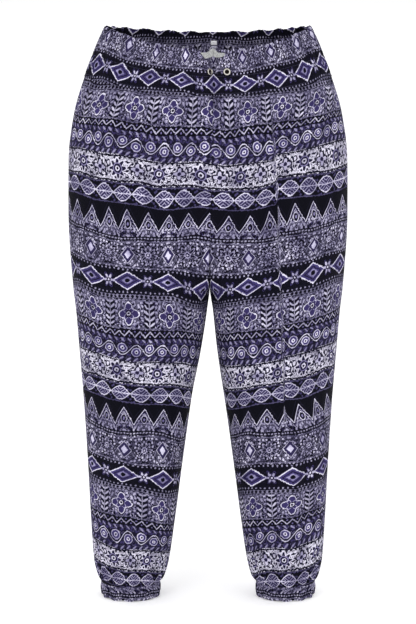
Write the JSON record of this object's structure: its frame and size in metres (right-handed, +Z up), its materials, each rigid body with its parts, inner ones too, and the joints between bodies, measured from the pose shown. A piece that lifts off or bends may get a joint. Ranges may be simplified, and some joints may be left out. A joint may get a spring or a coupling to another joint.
{
  "type": "drop-crotch jogger trousers",
  "caption": "Wide-hipped drop-crotch joggers in printed cloth, with a gathered waistband, eyelets, a short tape tie and elastic ankle cuffs, in hollow worn form.",
  "frame": {"origin": "centre of the waist opening, half way up the waistband's sides, where the wearer's waist holds it", "axes": "+Z up towards the waist, -Y towards the front, +X towards the wearer's left leg"},
  "size_m": [0.492, 0.2752, 1.0302],
  "materials": {
    "print_cloth": "light plain-woven viscose with a matt navy, lavender, grey and white banded print",
    "print_casing": "the same printed cloth, doubled and gathered on elastic",
    "eyelet_metal": "pale brass, satin polish",
    "cotton_tape": "flat woven cotton tape, cream grey",
    "label_satin": "white satin label, blank"
  },
  "bodies": {
    "root": {"front_left": "print_cloth", "front_right": "print_cloth", "back_left": "print_cloth", "back_right": "print_cloth", "waistband_front": "print_casing", "waistband_back": "print_casing", "cuff_left": "print_casing", "cuff_right": "print_casing", "eyelet_left": "eyelet_metal", "eyelet_right": "eyelet_metal", "tie_knot": "cotton_tape", "tie_end_left": "cotton_tape", "tie_end_right": "cotton_tape", "label": "label_satin", "size_tab": "label_satin"}
  },
  "joints": []
}
